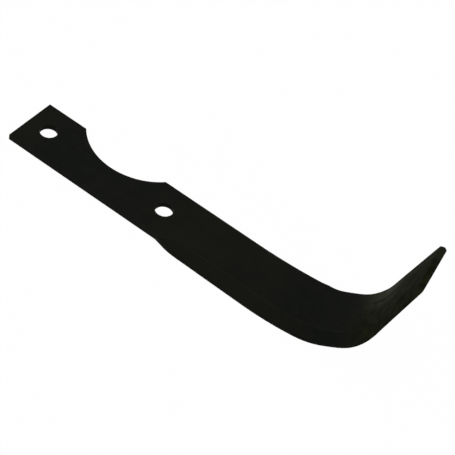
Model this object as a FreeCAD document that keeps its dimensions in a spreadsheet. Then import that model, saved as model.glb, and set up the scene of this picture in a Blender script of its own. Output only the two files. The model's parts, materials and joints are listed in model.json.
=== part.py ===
import FreeCAD, Part
import math
import os

import Sketcher

# Rotary tiller blade: one flat bar of spring steel, forged, swept back and bent at its working end.
# The bar lies on its outer face (z = 0).  The origin is the point midway between the two bolt holes
# on that face, +X runs from the bolted end to the tip, +Y points to the trailing edge, and the tip
# bends up to +Z.  Lengths are in millimetres and angles in degrees.

V = FreeCAD.Vector

# Name, value, what it is
SIZES = [
    ("bar_width", 44.45, "width of the flat bar"),
    ("bar_thickness", 4.76, "thickness of the flat bar"),
    ("end_to_hole", 17.6, "square end to the first bolt hole"),
    ("hole_spacing", 107.2, "between the bolt holes"),
    ("hole_diameter", 13.5, "bolt holes"),
    ("edge_to_bolt_line", 23.0, "leading edge of the bar to the line of the bolts"),
    ("notch_radius", 48.5, "half-moon notch that clears the rotor tube"),
    ("notch_depth", 17.3, "depth of that notch below the trailing edge"),
    ("notch_offset", 0.8, "how far its centre lies from the origin, towards the tip"),
    ("hole_to_shoulder", 10.3, "second hole to where the forged edge starts"),
    ("forging_run_in", 22.4, "length over which the edge is drawn out to its full form"),
    ("forged_widening", 3.2, "how far the drawn-out edge stands past the bar"),
    ("edge_flare", 0.85, "degrees that the drawn-out edge goes on outwards from the shoulder"),
    ("edge_land", 1.6, "thickness left at the cutting edge"),
    ("bevel_width", 10.5, "width of the bevel, which is on the inner face"),
    ("bevel_run_out", 15.0, "length at the tip over which the bevel narrows"),
    ("bevel_width_at_tip", 5.8, "width that it has left at the end"),
    ("trailing_sweep_start", 122.6, "origin to the start of the trailing edge's sweep"),
    ("trailing_sweep_radius", 400.0, "radius of that sweep"),
    ("trailing_sweep_angle", 7.2, "degrees it turns through"),
    ("leading_sweep_start", 144.5, "origin to the start of the cutting edge's sweep"),
    ("leading_sweep_radius", 236.0, "radius of that sweep"),
    ("leading_sweep_angle", 15.8, "degrees it turns through"),
    ("heel_place", 230.0, "origin to the fullest point of the heel, where the bend swells the edge"),
    ("heel_length", 51.0, "length of that swelling along the cutting edge"),
    ("heel_height", 2.5, "how far it stands past the edge's line"),
    ("bend_start", 179.6, "origin to the bend line, along the line of the bolts"),
    ("bend_heading", 13.7, "degrees that the bend runs off the bar's length"),
    ("bend_radius", 50.6, "inside radius of the bend"),
    ("bend_angle", 71.0, "degrees that the tip is bent up"),
    ("tip_flat", 64.5, "flat length past the bend, at the trailing edge"),
    ("end_cut_angle", 15.8, "degrees that the end is cut off square"),
    ("trailing_corner", 1.5, "radius of the tip's corner on the trailing side"),
    ("leading_corner", 1.5, "radius of its corner on the cutting edge"),
]

doc = FreeCAD.newDocument("tiller_blade")
sheet = doc.addObject("Spreadsheet::Sheet", "sizes")
for row, (name, value, note) in enumerate(SIZES, start=1):
    sheet.set(f"A{row}", name)
    sheet.set(f"B{row}", str(value))
    sheet.set(f"C{row}", note)
    sheet.setAlias(f"B{row}", name)
doc.recompute()


def size(name):
    """A driving size, read back from the sheet."""
    return float(sheet.get(name))


def origin_plane(body, role):
    """The origin plane of a body that has the given role."""
    return next(plane for plane in body.Origin.OriginFeatures if plane.Role == role)


def new_sketch(body, name, role):
    """An empty sketch on one of the body's own origin planes."""
    sketch = body.newObject("Sketcher::SketchObject", name)
    sketch.AttachmentSupport = (origin_plane(body, role), [""])
    sketch.MapMode = "FlatFace"
    return sketch


def dimension(sketch, name, constraint, formula=None):
    """Adds a named dimension to a sketch and ties it to the sheet."""
    number = sketch.addConstraint(Sketcher.Constraint(*constraint))
    sketch.renameConstraint(number, name)
    if formula:
        sketch.setExpression(f"Constraints.{name}", formula)


# --- The bent plate: the bar's section along the blade, much wider than the blade -----------------

def add_bent_plate():
    """A plate of the bar's thickness: flat, then bent up about a line that crosses the bar askew."""
    body = doc.addObject("PartDesign::Body", "bent_plate")
    sketch = new_sketch(body, "bend_profile", "XZ_Plane")
    heading = size("bend_heading")
    sketch.AttachmentOffset = FreeCAD.Placement(V(), FreeCAD.Rotation(V(0, 1, 0), heading))
    sketch.setExpression("AttachmentOffset.Rotation.Angle", "sizes.bend_heading * 1deg")

    thick = size("bar_thickness")
    inner = size("bend_radius")
    outer = inner + thick
    turn = math.radians(size("bend_angle"))
    start = size("bend_start") * math.cos(math.radians(heading))
    back = -size("hole_spacing")
    ahead = 2 * size("tip_flat")
    along = V(math.cos(turn), math.sin(turn), 0)
    down = V(math.sin(turn), -math.cos(turn), 0)
    centre = V(start, thick + inner, 0)
    quarter = 1.5 * math.pi

    outer_flat, outer_bend, outer_tip, end, inner_tip, inner_bend, inner_flat, back_end = (
        sketch.addGeometry(curve, False)
        for curve in (
            Part.LineSegment(V(back, 0, 0), V(start, 0, 0)),
            Part.ArcOfCircle(Part.Circle(centre, V(0, 0, 1), outer), quarter, quarter + turn),
            Part.LineSegment(centre + down * outer, centre + down * outer + along * ahead),
            Part.LineSegment(centre + down * outer + along * ahead, centre + down * inner + along * ahead),
            Part.LineSegment(centre + down * inner + along * ahead, centre + down * inner),
            Part.ArcOfCircle(Part.Circle(centre, V(0, 0, 1), inner), quarter, quarter + turn),
            Part.LineSegment(V(start, thick, 0), V(back, thick, 0)),
            Part.LineSegment(V(back, thick, 0), V(back, 0, 0)),
        )
    )
    axis, origin = -1, (-1, 1)
    for constraint in (
        ("Tangent", outer_flat, 2, outer_bend, 1),
        ("Tangent", outer_bend, 2, outer_tip, 1),
        ("Coincident", outer_tip, 2, end, 1),
        ("Coincident", end, 2, inner_tip, 1),
        ("Tangent", inner_tip, 2, inner_bend, 2),
        ("Tangent", inner_bend, 1, inner_flat, 1),
        ("Coincident", inner_flat, 2, back_end, 1),
        ("Coincident", back_end, 2, outer_flat, 1),
        ("Coincident", outer_bend, 3, inner_bend, 3),
        ("PointOnObject", outer_flat, 1, axis),
        ("Horizontal", outer_flat),
        ("Horizontal", inner_flat),
        ("Vertical", back_end),
        ("Perpendicular", end, outer_tip),
    ):
        sketch.addConstraint(Sketcher.Constraint(*constraint))
    dimension(sketch, "thickness", ("Distance", back_end, thick), "sizes.bar_thickness")
    dimension(sketch, "inside_radius", ("Radius", inner_bend, inner), "sizes.bend_radius")
    dimension(sketch, "turn", ("Angle", outer_flat, outer_tip, turn), "sizes.bend_angle * 1deg")
    dimension(sketch, "start", ("DistanceX", *origin, outer_flat, 2, start),
              "sizes.bend_start * cos(sizes.bend_heading * 1deg)")
    dimension(sketch, "back", ("DistanceX", outer_flat, 1, *origin, -back), "sizes.hole_spacing")
    dimension(sketch, "ahead", ("Distance", outer_tip, ahead), "2 * sizes.tip_flat")

    pad = body.newObject("PartDesign::Pad", "plate")
    pad.Profile = sketch
    pad.setExpression("Length", "4 * (sizes.bend_start + sizes.tip_flat)")
    pad.Midplane = True
    return body


bent_plate = add_bent_plate()


# --- The outline: both edges of the flat blank, carried round the bend -----------------------------

def sweep(x, start, radius, angle):
    """How far an edge has moved to +Y at x: an arc from start, then straight on at its last angle."""
    turn = math.radians(angle)
    run = min(max(x - start, 0.0), radius * math.sin(turn))
    beyond = max(x - start - radius * math.sin(turn), 0.0)
    return radius - math.sqrt(radius ** 2 - run ** 2) + beyond * math.tan(turn)


def shoulder():
    """X of the shoulder, where the plain bar ends and the forged edge starts."""
    return size("hole_spacing") / 2 + size("hole_to_shoulder")


def forged(x):
    """How far the drawing-out of the cutting edge has come at x, from 0 to 1."""
    along = min(max((x - shoulder()) / size("forging_run_in"), 0.0), 1.0)
    return 1 - (1 - along) ** 2


def trailing_edge(x):
    """Y of the blank's trailing edge at x."""
    straight = size("bar_width") - size("edge_to_bolt_line")
    start, radius, angle = (size(f"trailing_sweep_{part}") for part in ("start", "radius", "angle"))
    return straight + sweep(x, start, radius, angle)


def heel(x):
    """How far the edge swells outwards at x, where the bend is tightest on it."""
    along = min(max((x - size("heel_place")) / size("heel_length"), -0.5), 0.5)
    return size("heel_height") * math.cos(math.pi * along) ** 2


def cutting_edge(x):
    """Y of the blank's leading edge at x."""
    flare = max(x - shoulder(), 0.0) * math.tan(math.radians(size("edge_flare")))
    outwards = size("edge_to_bolt_line") + size("forged_widening") * forged(x) + flare + heel(x)
    start, radius, angle = (size(f"leading_sweep_{part}") for part in ("start", "radius", "angle"))
    return sweep(x, start, radius, angle) - outwards


def meet(edge, point, heading):
    """Where an edge of the blank crosses the line through point that is square to heading."""
    toward = V(math.cos(heading), math.sin(heading), 0)
    low, high = point.x - size("bar_width") * 2, point.x + size("bar_width") * 2
    for _ in range(60):
        x = (low + high) / 2
        if (V(x, edge(x), 0) - point).dot(toward) > 0:
            high = x
        else:
            low = x
    return V(x, edge(x), 0)


def carry_round(point, height):
    """The place in the bent blade of a point of the flat blank at a height over its outer face."""
    heading = math.radians(size("bend_heading"))
    toward = V(math.cos(heading), math.sin(heading), 0)
    across = V(-math.sin(heading), math.cos(heading), 0)
    start = size("bend_start") * math.cos(heading)
    turn = math.radians(size("bend_angle"))
    outer = size("bend_radius") + size("bar_thickness")
    middle = size("bend_radius") + size("bar_thickness") / 2
    past = point.dot(toward) - start
    angle = min(max(past / middle, 0.0), turn)
    straight = past - angle * middle
    lift = outer - (outer - height) * math.cos(angle)
    reach = start + (outer - height) * math.sin(angle)
    place = toward * (reach + straight * math.cos(angle)) + across * point.dot(across)
    return place + V(0, 0, lift + straight * math.sin(angle))


def section(point, heading, to_end):
    """The blade's outline where it crosses the line through point, to_end short of the end cut: a
    closed wire, a little thicker than the bar, with the bevel as its fifth side."""
    thick = size("bar_thickness")
    spare = thick / 3
    near = meet(cutting_edge, point, heading)
    far = meet(trailing_edge, point, heading)
    inward = (far - near).normalize()
    whole = min(to_end / size("bevel_run_out"), 1.0)
    width = size("bevel_width_at_tip") + (size("bevel_width") - size("bevel_width_at_tip")) * whole
    removed = (thick - size("edge_land")) * forged(near.x)
    slope = width / (thick - size("edge_land"))
    corners = (
        (near + inward * (removed + spare) * slope, thick + spare),
        (far, thick + spare),
        (far, -spare),
        (near, -spare),
        (near, thick - removed),
    )
    return Part.makePolygon([carry_round(*corner) for corner in corners + corners[:1]])


def stations():
    """Where the sections lie, each as a point of the blank, a heading and the length left to the end
    cut: square to the bar at the shoulder, along the bend line in the bend, along the cut at the tip."""
    heading = math.radians(size("bend_heading"))
    cut = heading - math.radians(size("end_cut_angle"))
    middle = size("bend_radius") + size("bar_thickness") / 2
    bend = middle * math.radians(size("bend_angle"))
    toward = V(math.cos(heading), math.sin(heading), 0)
    flat_steps, bend_steps, tip_steps = 12, 8, 8
    for step in range(flat_steps):
        share = step / flat_steps
        place = shoulder() + (size("bend_start") - shoulder()) * share
        yield V(place, 0, 0), heading * share, size("bend_start") - place + bend + size("tip_flat")
    start = V(size("bend_start"), 0, 0)
    for step in range(bend_steps + 1):
        past = bend * step / bend_steps
        yield start + toward * past, heading, bend - past + size("tip_flat")
    for step in range(1, tip_steps + 1):
        share = step / tip_steps
        past = start + toward * (bend + size("tip_flat") * share)
        turned = heading + (cut - heading) * share
        yield meet(trailing_edge, past, heading), turned, size("tip_flat") * (1 - share)


def tip_corner(edge):
    """Where the end cut meets an edge, as a point of the blank."""
    *_, (point, heading, _) = stations()
    return meet(edge, point, heading)


def round_tip_corner(solid, edge, radius):
    """The solid with its tip corner on one edge of the blade rounded."""
    corner = carry_round(tip_corner(edge), 0)
    sharp = min(solid.Edges, key=lambda each: each.distToShape(Part.Vertex(corner))[0] + each.Length / 1000)
    return solid.makeFillet(radius, [sharp])


blade_outline = doc.addObject("Part::Feature", "blade_outline")
outline = Part.makeLoft([section(*station) for station in stations()], True, False)
outline = round_tip_corner(outline, trailing_edge, size("trailing_corner"))
blade_outline.Shape = round_tip_corner(outline, cutting_edge, size("leading_corner"))

forged_blade = doc.addObject("Part::MultiCommon", "forged_blade")
forged_blade.Shapes = [bent_plate, blade_outline]

# --- The bolted end: plain bar, fused to the forged end --------------------------------------------

shank = doc.addObject("Part::Box", "shank")
shank.setExpression("Length", "sizes.end_to_hole + sizes.hole_spacing + sizes.hole_to_shoulder")
shank.setExpression("Width", "sizes.bar_width")
shank.setExpression("Height", "sizes.bar_thickness")
shank.setExpression("Placement.Base.x", "-sizes.end_to_hole - sizes.hole_spacing / 2")
shank.setExpression("Placement.Base.y", "-sizes.edge_to_bolt_line")

blank = doc.addObject("Part::MultiFuse", "blank")
blank.Shapes = [shank, forged_blade]
blank.Refine = True
doc.recompute()

blade = doc.addObject("PartDesign::Body", "tiller_blade")
blade.BaseFeature = blank
doc.recompute()


def add_notch():
    """The half-moon notch in the trailing edge, close to midway between the bolts."""
    sketch = new_sketch(blade, "notch_circle", "XY_Plane")
    depth = size("bar_width") - size("edge_to_bolt_line") - size("notch_depth")
    centre = V(size("notch_offset"), depth + size("notch_radius"), 0)
    sketch.addGeometry(Part.Circle(centre, V(0, 0, 1), size("notch_radius")), False)
    dimension(sketch, "offset", ("DistanceX", -1, 1, 0, 3, centre.x), "sizes.notch_offset")
    dimension(sketch, "radius", ("Radius", 0, size("notch_radius")), "sizes.notch_radius")
    dimension(sketch, "height", ("DistanceY", -1, 1, 0, 3, centre.y),
              "sizes.bar_width - sizes.edge_to_bolt_line - sizes.notch_depth + sizes.notch_radius")
    pocket = blade.newObject("PartDesign::Pocket", "hub_notch")
    pocket.Profile = sketch
    pocket.Type = "ThroughAll"
    pocket.Reversed = True
    doc.recompute()


def add_bolt_holes():
    """Two through holes on the line of the bolts."""
    sketch = new_sketch(blade, "bolt_circles", "XY_Plane")
    half, radius = size("hole_spacing") / 2, size("hole_diameter") / 2
    for number, side in enumerate((-1, 1)):
        sketch.addGeometry(Part.Circle(V(side * half, 0, 0), V(0, 0, 1), radius), False)
        sketch.addConstraint(Sketcher.Constraint("PointOnObject", number, 3, -1))
    dimension(sketch, "first_radius", ("Radius", 0, radius), "sizes.hole_diameter / 2")
    dimension(sketch, "second_radius", ("Radius", 1, radius), "sizes.hole_diameter / 2")
    dimension(sketch, "first_side", ("DistanceX", 0, 3, -1, 1, half), "sizes.hole_spacing / 2")
    dimension(sketch, "second_side", ("DistanceX", -1, 1, 1, 3, half), "sizes.hole_spacing / 2")
    doc.recompute()
    hole = blade.newObject("PartDesign::Hole", "bolt_holes")
    hole.Profile = sketch
    hole.DepthType = "ThroughAll"
    hole.Reversed = True
    hole.setExpression("Diameter", "sizes.hole_diameter")
    doc.recompute()


add_notch()
add_bolt_holes()
blade.Label = "tiller_blade"
blade.Placement = FreeCAD.Placement()
doc.recompute()


# --- Checks and export -----------------------------------------------------------------------------

for item in doc.Objects:
    if "Invalid" in item.State or "Error" in item.State:
        raise RuntimeError(f"{item.Name}: {item.State}")

if blade.Shape.isNull() or not blade.Shape.isValid():
    raise RuntimeError("tiller_blade has no valid shape")
if len(blade.Shape.Solids) != 1:
    raise RuntimeError(f"tiller_blade has {len(blade.Shape.Solids)} solids")

os.makedirs("parts", exist_ok=True)
blade.Shape.exportStep("parts/tiller_blade.step")
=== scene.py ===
# %% [markdown]
# # A rotary tiller blade
# A rotary tiller carries a dozen or more of these blades on a turning shaft. Each is one flat bar
# of spring steel: square and bolted at one end, forged, swept back and bent up at the other, then
# dipped in thin black paint. The construction, with its true sizes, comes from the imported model.
# This script gives it what a construction model lacks: edges that are broken as a forge leaves
# them, a surface that isn't quite flat, and the black finish itself.

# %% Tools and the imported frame
import json
import math

import bmesh
import bpy
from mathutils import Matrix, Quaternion, Vector, kdtree, noise

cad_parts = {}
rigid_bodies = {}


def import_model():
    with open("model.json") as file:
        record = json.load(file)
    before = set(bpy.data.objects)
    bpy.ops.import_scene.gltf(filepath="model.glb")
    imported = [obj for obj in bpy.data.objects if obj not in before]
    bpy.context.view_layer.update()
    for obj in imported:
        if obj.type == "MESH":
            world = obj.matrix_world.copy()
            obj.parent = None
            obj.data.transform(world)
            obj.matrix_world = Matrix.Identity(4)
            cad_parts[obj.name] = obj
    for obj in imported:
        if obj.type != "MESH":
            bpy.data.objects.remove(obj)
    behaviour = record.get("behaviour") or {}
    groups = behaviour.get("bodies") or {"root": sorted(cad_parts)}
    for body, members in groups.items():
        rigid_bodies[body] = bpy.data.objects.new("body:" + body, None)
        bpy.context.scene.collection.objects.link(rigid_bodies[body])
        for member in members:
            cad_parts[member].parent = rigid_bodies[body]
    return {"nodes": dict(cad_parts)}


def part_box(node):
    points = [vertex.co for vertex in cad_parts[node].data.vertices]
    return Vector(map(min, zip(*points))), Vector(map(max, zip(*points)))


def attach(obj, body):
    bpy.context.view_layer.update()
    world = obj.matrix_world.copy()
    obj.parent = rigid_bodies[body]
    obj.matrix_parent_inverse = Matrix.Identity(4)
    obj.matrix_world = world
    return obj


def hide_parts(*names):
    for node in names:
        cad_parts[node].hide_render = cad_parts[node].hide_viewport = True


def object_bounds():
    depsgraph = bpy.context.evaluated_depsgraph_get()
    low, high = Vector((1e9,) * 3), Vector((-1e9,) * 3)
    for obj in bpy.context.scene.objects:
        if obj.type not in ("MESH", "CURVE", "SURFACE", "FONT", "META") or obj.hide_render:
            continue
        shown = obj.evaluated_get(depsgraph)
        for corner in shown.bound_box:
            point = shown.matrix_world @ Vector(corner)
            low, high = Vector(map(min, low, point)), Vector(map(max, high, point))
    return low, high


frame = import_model()
cad_low, cad_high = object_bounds()
blade_low, blade_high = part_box("tiller_blade")
MM = 0.001
THICKNESS = 4.76 * MM
print("the blade is", [round(size / MM, 1) for size in blade_high - blade_low], "mm")

# %% [markdown]
# ## The forged blade
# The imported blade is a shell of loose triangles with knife-sharp edges. On the real one no edge is
# sharp: the bar is rolled with slightly round edges, and blanking, grinding and paint round them
# further, so each edge shows as a soft line. A shader can fake that line, but then the outline
# stays sharp. Here a copy of the shell is merged into one skin, and its flat faces lose their
# needless triangles, so that the next step finds clean edges to work on.

# %% Copy the shell and close it
MERGE = 0.002 * MM
NEARLY_FLAT = math.radians(0.3)


def only(piece):
    """Selects one object and nothing else, and makes it the active one."""
    bpy.ops.object.select_all(action="DESELECT")
    piece.select_set(True)
    bpy.context.view_layer.objects.active = piece


def apply(piece, kind, **settings):
    """Adds a modifier with the given settings and makes its result the piece's own mesh."""
    modifier = piece.modifiers.new(kind.lower(), kind)
    for name, value in settings.items():
        setattr(modifier, name, value)
    only(piece)
    bpy.ops.object.modifier_apply(modifier=modifier.name)


only(frame["nodes"]["tiller_blade"])
bpy.ops.object.duplicate()
blade = bpy.context.view_layer.objects.active
blade.name = "forged_blade"
blade.data.name = "forged_blade"
bpy.ops.object.parent_clear(type="CLEAR_KEEP_TRANSFORM")
for mark in [key for key in blade.keys() if key.startswith("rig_")]:
    del blade[mark]
only(blade)
bpy.ops.object.mode_set(mode="EDIT")
bpy.ops.mesh.select_all(action="SELECT")
bpy.ops.mesh.remove_doubles(threshold=MERGE)
bpy.ops.mesh.dissolve_limited(angle_limit=NEARLY_FLAT)
bpy.ops.object.mode_set(mode="OBJECT")
print("merged:", len(blade.data.vertices), "points,", len(blade.data.polygons), "faces")

# %% [markdown]
# ## Where the trailing edge runs
# The colour of the bent end carries painted light that follows its trailing edge: a painted sheen,
# a lighter band beside the edge, then a dark streak of painted shade, and a painted highlight over
# the bend. The shader has to know how far a point lies from that edge, so the edge is found on the
# mesh while it is still sharp: the sharp lines of the bent end that lie on its +Y side. Its highest
# point is the tip's far corner, which the hammer leaves crowned, so that is noted too.

# %% Find the trailing edge of the bent end
SHARP = math.radians(40)
BEND_FOOT = 4.9 * MM
EDGE_STEP = 1 * MM
TIP_FOOT = 55 * MM

shape = bmesh.new()
shape.from_mesh(blade.data)
raised = [point.co for point in shape.verts if point.co.z > BEND_FOOT]
middle = sum(raised, Vector()) / len(raised)
trailing = []
for edge in shape.edges:
    start, end = (point.co for point in edge.verts)
    on_bend = min(start.z, end.z) > BEND_FOOT and min(start.y, end.y) > middle.y
    if on_bend and edge.is_manifold and edge.calc_face_angle() > SHARP:
        count = max(1, round((end - start).length / EDGE_STEP))
        trailing += [start.lerp(end, step / count) for step in range(count + 1)]
trailing_edge = kdtree.KDTree(len(trailing))
for index, place in enumerate(trailing):
    trailing_edge.insert(place, index)
trailing_edge.balance()
tip_corner = max(trailing, key=lambda place: place.z)
tip_plate = max(
    (face for face in shape.faces if face.calc_center_median().z > TIP_FOOT),
    key=lambda face: face.calc_area() * face.normal.dot(Vector((-1, 0, 0))),
)
plate_normal = tip_plate.normal.copy()
corner_way = tip_corner - tip_plate.calc_center_median()
corner_way = (corner_way - plate_normal * corner_way.dot(plate_normal)).normalized()
shape.free()
print("the far corner of the tip is at", [round(value / MM, 1) for value in tip_corner], "mm")
print("the trailing edge of the bend has", len(trailing), "points")

# %% [markdown]
# ## Broken edges
# A real edge break catches the light as a thin line and softens the outline at the corners. The
# bevel follows every edge sharper than 40 degrees, so the gentle crease where the cutting bevel
# meets the flat stays a crease, as the grinding wheel leaves it.

# %% Break the edges
EDGE_RADIUS = 0.45 * MM
apply(blade, "BEVEL", width=EDGE_RADIUS, segments=3, limit_method="ANGLE", angle_limit=SHARP)
print("bevelled:", len(blade.data.vertices), "points,", len(blade.data.polygons), "faces")

# %% [markdown]
# ## Forging marks
# Rolled bar is flat to a few hundredths of a millimetre, while the hammered end wanders by one or
# two tenths. It is too little to see as a shape, but a dark satin surface seen at a low angle
# shows every such slope as a lighter or darker patch. The skin is first cut into a fine grid by
# planes, and then its points move along their normals by a smooth noise that grows over the bend.
# Bending also squeezes the trailing edge into a few shallow waves, which lengthen up the bend, and
# the tip's far corner is hammered to a crown. Both show in the outline, so they are shape too.

# %% Cut the skin into a grid
GRID = 2.5 * MM
shape = bmesh.new()
shape.from_mesh(blade.data)
for axis in range(3):
    across = Vector([float(axis == other) for other in range(3)])
    for step in range(1, math.ceil((blade_high - blade_low)[axis] / GRID)):
        bmesh.ops.bisect_plane(
            shape,
            geom=[*shape.verts, *shape.edges, *shape.faces],
            plane_co=blade_low + across * GRID * step,
            plane_no=across,
            dist=MERGE,
        )
bmesh.ops.dissolve_degenerate(shape, dist=MERGE, edges=shape.edges)
print("gridded:", len(shape.verts), "points,", len(shape.faces), "faces")

# %% Move the points and note where the edges are
FLAT_MARK, BEND_MARK = 0.03 * MM, 0.14 * MM
WIDE, NARROW = 22 * MM, 8 * MM
BEND_TOP = 30 * MM
ROUNDED = math.radians(14)
FAR_AWAY = 30 * MM
WAVE = 0.35 * MM
WAVES_START, WAVES_END = 170 * MM, 86 * MM
WAVE_FIRST, WAVE_GROWTH = 12 * MM, 0.4
WAVE_REACH = 8 * MM
CROWN = 0.8 * MM
CORNER_REACH = 8 * MM
GROUND_LEAST, GROUND_MOST = math.radians(8), math.radians(22)


def ramp(value, start, end):
    """Goes smoothly from 0 at start to 1 at end."""
    share = min(1, max(0, (value - start) / (end - start)))
    return share * share * (3 - 2 * share)


shape.normal_update()
edge_layer = shape.verts.layers.float.new("edge")
trail_layer = shape.verts.layers.float.new("from_trailing_edge")
ground_layer = shape.verts.layers.float.new("ground")
moved = []
for point in shape.verts:
    angles = [edge.calc_face_angle(0) for edge in point.link_edges]
    point[edge_layer] = float(max(angles) > ROUNDED)
    distance = trailing_edge.find(point.co)[2]
    point[trail_layer] = min(distance, FAR_AWAY)
    sloping = math.cos(GROUND_MOST) < point.normal.z < math.cos(GROUND_LEAST)
    point[ground_layer] = float(sloping and point.co.z < BEND_FOOT)
    mark = FLAT_MARK + (BEND_MARK - FLAT_MARK) * ramp(point.co.z, BEND_FOOT, BEND_TOP)
    height = 0.7 * noise.noise(point.co / WIDE) + 0.3 * noise.noise(point.co / NARROW)
    place = point.co + point.normal * mark * height
    depth = (point.co - tip_corner).dot(plate_normal) / THICKNESS
    crowned = 1.5 * (1 - (2 * depth + 1) ** 2) - 0.5
    near_corner = 1 - ramp((point.co - tip_corner).length, CORNER_REACH / 4, CORNER_REACH)
    run = max(0, point.co.x + point.co.z - WAVES_START)
    wave = math.cos(math.pi * (math.sqrt(run / WAVE_FIRST) - 1) / WAVE_GROWTH)
    wavy = ramp(run, 0, WAVE_FIRST) * (1 - ramp(run, WAVES_END, WAVES_END + WAVE_FIRST))
    place.y += WAVE * wave * wavy * (1 - ramp(distance, 1 * MM, WAVE_REACH))
    moved.append(place + corner_way * CROWN * crowned * near_corner)
for point, place in zip(shape.verts, moved):
    point.co = place
shape.to_mesh(blade.data)
shape.free()

only(blade)
bpy.ops.object.shade_smooth_by_angle(angle=SHARP)
apply(blade, "WEIGHTED_NORMAL", keep_sharp=True)
blade.data.calc_loop_triangles()
print("triangles:", len(blade.data.loop_triangles))

# %% [markdown]
# ## Shader sums in plain Python
# A material is a net of nodes, and nets are hard to read as code. This small class wraps one
# output of a node, so that a sum such as `1 - mask * 0.5` can be written as it would be on paper,
# and one method adds any other node.

# %% A wire between nodes


class Wire:
    """One output of a node, which can be added, subtracted and multiplied like a number."""

    def __init__(self, tree, socket=None):
        self.tree = tree
        self.socket = socket

    def node(self, kind, settings=None, inputs=None, output=0):
        """Adds a node: its settings first, then a value or a wire for each of its sockets."""
        new = self.tree.nodes.new("ShaderNode" + kind)
        for name, value in (settings or {}).items():
            setattr(new, name, value)
        for name, value in (inputs or {}).items():
            if isinstance(value, Wire):
                self.tree.links.new(value.socket, new.inputs[name])
            else:
                new.inputs[name].default_value = value
        return Wire(self.tree, new.outputs[output])

    def maths(self, operation, first, second):
        return self.node("Math", {"operation": operation}, {0: first, 1: second})

    def __add__(self, other):
        return self.maths("ADD", self, other)

    def __sub__(self, other):
        return self.maths("SUBTRACT", self, other)

    def __rsub__(self, other):
        return self.maths("SUBTRACT", other, self)

    def __mul__(self, other):
        return self.maths("MULTIPLY", self, other)

    __radd__ = __add__
    __rmul__ = __mul__

    def between(self, start, end):
        """A mask that goes smoothly from 0 at start to 1 at end."""
        inputs = {"Value": self, "From Min": start, "From Max": end}
        return self.node("MapRange", {"interpolation_type": "SMOOTHSTEP"}, inputs)

    def tint(self, none, full):
        """One colour where this mask is 0 and another where it is 1."""
        return self.node("Mix", {"data_type": "RGBA"}, {0: self, 6: none, 7: full}, output=2)


# %% [markdown]
# ## Blackened steel
# The blade is dipped in a thin black paint that dries satin. It isn't one black: it is thinner and
# browner over the hammered end, where scale shows through, mottled along the bar, and rubbed off
# the edges where blades knock together in their crate. Each of these is a mask, and each mask
# shifts the colour and the roughness together, because a real change in a finish changes both.


# %% Masks
def speckle(wire, place, size, detail=3, roughness=0.55):
    """Cloudy noise whose blotches are about the given size."""
    inputs = {"Vector": place, "Scale": 1 / size, "Detail": detail, "Roughness": roughness}
    return wire.node("TexNoise", None, inputs)


black = bpy.data.materials.new("blackened_steel")
black.use_nodes = True
start = Wire(black.node_tree)
place = start.node("TexCoord", output="Object")
along = start.node("SeparateXYZ", None, {"Vector": place}, output="X")
up = start.node("SeparateXYZ", None, {"Vector": place}, output="Z")
warm = along.between(30 * MM, 70 * MM) * (1 - along.between(140 * MM, 175 * MM))
warm = warm + (1 - along.between(-68 * MM, -42 * MM))
ground = start.node("Attribute", {"attribute_name": "ground"}, output="Fac")
bent = up.between(10 * MM, 32 * MM)
from_edge = start.node("Attribute", {"attribute_name": "from_trailing_edge"}, output="Fac")
rubbed = start.node("Attribute", {"attribute_name": "edge"}, output="Fac").between(0.6, 1)

clouds = speckle(start, place, 26 * MM).between(0.35, 0.68)
blotches = speckle(start, place, 7 * MM, detail=5).between(0.38, 0.66)
grain = speckle(start, place, 0.9 * MM, detail=2)
scratches = speckle(start, place, 3 * MM, detail=6, roughness=0.7).between(0.56, 0.72)
wavering = from_edge + blotches * (1.6 * MM)
# Painted sheen: the colour is made lighter in a band beside the trailing edge of the bend
painted_sheen_band = bent * (1 - wavering.between(8 * MM, 11.5 * MM))
# Painted highlight: the colour is made much lighter where the plate turns up through the bend,
# mottled by the blotches
turned = up.between(12 * MM, 36 * MM) * (1 - up.between(42 * MM, 62 * MM))
painted_bend_highlight = turned * (1 - wavering.between(9 * MM, 24 * MM))
# Painted shade: a dark streak just past the painted sheen on the bend
painted_shade_streak = bent * wavering.between(9.5 * MM, 11 * MM) * (1 - wavering.between(12 * MM, 14 * MM))
print("masks of place: warm, ground, bent, band, hammered, streak and rubbed")
print("masks of noise: clouds, blotches, grain and scratches")

# %% Colour, roughness and bump
DARK = (0.0029, 0.0039, 0.0028, 1)
LIGHT = (0.0056, 0.0064, 0.0043, 1)
OLIVE_DARK = (0.0058, 0.0066, 0.0022, 1)
OLIVE_LIGHT = (0.0132, 0.0141, 0.0052, 1)
# Colour of the painted sheen beside the trailing edge
PAINTED_SHEEN_BAND = (0.0140, 0.0146, 0.0080, 1)
# Colour of the painted highlight over the bend
PAINTED_BEND_HIGHLIGHT = (0.0400, 0.0415, 0.0280, 1)
WARM = (0.0066, 0.0068, 0.0035, 1)
GROUND = (0.0085, 0.0090, 0.0055, 1)
# Colour of the painted shade in the dark streak
PAINTED_SHADE_STREAK = (0.0065, 0.0068, 0.0040, 1)
WORN = (0.0130, 0.0128, 0.0100, 1)
PAINT_GLOSS = 0.06

paint = (clouds * 0.6 + blotches * 0.4).tint(DARK, LIGHT)
scale = blotches.tint(OLIVE_DARK, OLIVE_LIGHT)
paint = (warm * (0.35 + clouds * 0.4)).tint(paint, WARM)
paint = (ground * 0.35).tint(paint, GROUND)
colour = (bent * 0.9).tint(paint, scale)
# Painted sheen: lighter colour beside the trailing edge
colour = (painted_sheen_band * 0.8).tint(colour, PAINTED_SHEEN_BAND)
# Painted highlight over the bend, mottled by the blotches
colour = (painted_bend_highlight * (0.55 + blotches * 0.4)).tint(colour, PAINTED_BEND_HIGHLIGHT)
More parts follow.
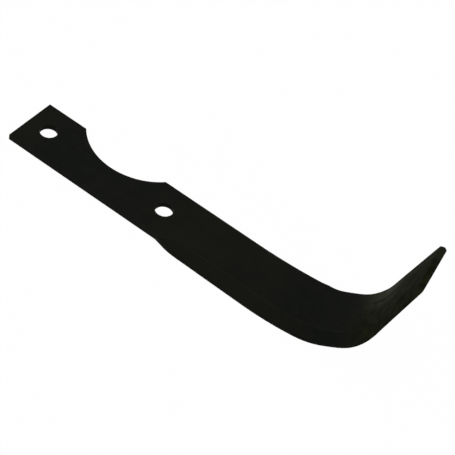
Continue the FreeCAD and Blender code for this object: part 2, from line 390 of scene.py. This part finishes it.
# Painted shade: a dark streak just past the sheen
colour = (painted_shade_streak * 0.75).tint(colour, PAINTED_SHADE_STREAK)
colour = (scratches * 0.35).tint(colour, WORN)
colour = (rubbed * (0.2 + blotches * 0.35)).tint(colour, WORN)
roughness = 0.7 + bent * 0.22 + clouds * 0.04 + grain * 0.06 - rubbed * 0.08 - painted_sheen_band * 0.05
relief = start.node("Bump", None, {
    "Strength": 0.35, "Distance": 0.05 * MM, "Height": grain + blotches * 1.5,
})

shader = black.node_tree.nodes["Principled BSDF"]
shader.inputs["Specular IOR Level"].default_value = PAINT_GLOSS
for name, value in {"Base Color": colour, "Roughness": roughness, "Normal": relief}.items():
    black.node_tree.links.new(value.socket, shader.inputs[name])
blade.data.materials.clear()
blade.data.materials.append(black)
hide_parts("tiller_blade")
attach(blade, "root")
print("the finish has", len(black.node_tree.nodes), "nodes")

# %% [markdown]
# ## A plain white studio
# A near-black object is easy to lose or to wash out. The surroundings are plain and pale on all
# sides, with a level that shows a colour about as it is written, and the blade lies on a sheet of
# white paper that keeps its shadow. The camera sees the paper and the sky a little brighter than
# they shine on the blade, which makes the background white with no more light on the object.

# %% Floor
PAPER = 0.8
PAPER_ROUGHNESS, PAPER_GLOSS = 0.9, 0.1
PAPER_GLOW = 0.985
FLOOR_SIZE = 6
CLEARANCE = 0.2 * MM


def looked_at(wire):
    """1 for a ray from the camera, or one seen in gloss or through glass, and 0 for all others."""
    rays = [
        wire.node("LightPath", output=name)
        for name in ("Is Camera Ray", "Is Glossy Ray", "Is Transmission Ray")
    ]
    return wire.maths("MAXIMUM", wire.maths("MAXIMUM", rays[0], rays[1]), rays[2])


bpy.ops.mesh.primitive_plane_add(size=FLOOR_SIZE, location=(0, 0, cad_low.z - CLEARANCE))
floor = bpy.context.view_layer.objects.active
floor.name = "floor"
paper = bpy.data.materials.new("paper")
paper.use_nodes = True
start = Wire(paper.node_tree)
sheet = paper.node_tree.nodes["Principled BSDF"]
sheet.inputs["Base Color"].default_value = (PAPER, PAPER, PAPER, 1)
sheet.inputs["Roughness"].default_value = PAPER_ROUGHNESS
sheet.inputs["Specular IOR Level"].default_value = PAPER_GLOSS
surface = start.node("MixShader", None, {
    0: looked_at(start) * PAPER_GLOW,
    1: Wire(paper.node_tree, sheet.outputs[0]),
    2: start.node("Emission"),
})
paper.node_tree.links.new(surface.socket, paper.node_tree.nodes["Material Output"].inputs[0])
floor.data.materials.append(paper)
print("floor at", round(floor.location.z / MM, 2), "mm")

# %% Light
SKY = 0.8
world = bpy.data.worlds.new("studio")
bpy.context.scene.world = world
world.use_nodes = True
start = Wire(world.node_tree)
white = (1, 1, 1, 1)
surface = start.node("MixShader", None, {
    0: looked_at(start),
    1: start.node("Background", None, {"Color": white, "Strength": SKY}),
    2: start.node("Background", None, {"Color": white, "Strength": 1.0}),
})
world.node_tree.links.new(surface.socket, world.node_tree.nodes["World Output"].inputs[0])
print("sky at", SKY, "on the blade and white to the camera")

# %% [markdown]
# ## The camera
# A long lens from a little over a metre away keeps the two ends of the blade in proportion. It
# looks down on the inner face from the front, and is turned a few degrees about its own axis.

# %% Camera
AZIMUTH = math.radians(27.275)
ELEVATION = math.radians(47.112)
ROLL = math.radians(13.21)
DISTANCE = 1.20266
LENS, SENSOR = 135, 36
AIM = Vector((0.09401, 0.02229, 0))
back = Vector((
    math.sin(AZIMUTH) * math.cos(ELEVATION),
    -math.cos(AZIMUTH) * math.cos(ELEVATION),
    math.sin(ELEVATION),
))
bpy.ops.object.camera_add(location=AIM + back * DISTANCE)
camera = bpy.context.view_layer.objects.active
camera.rotation_mode = "QUATERNION"
camera.rotation_quaternion = Quaternion(back, ROLL) @ (-back).to_track_quat("-Z", "Y")
camera.data.lens = LENS
camera.data.sensor_width = SENSOR
bpy.context.scene.camera = camera
bpy.context.scene.view_settings.view_transform = "Standard"
print("camera at", [round(value, 3) for value in camera.location])
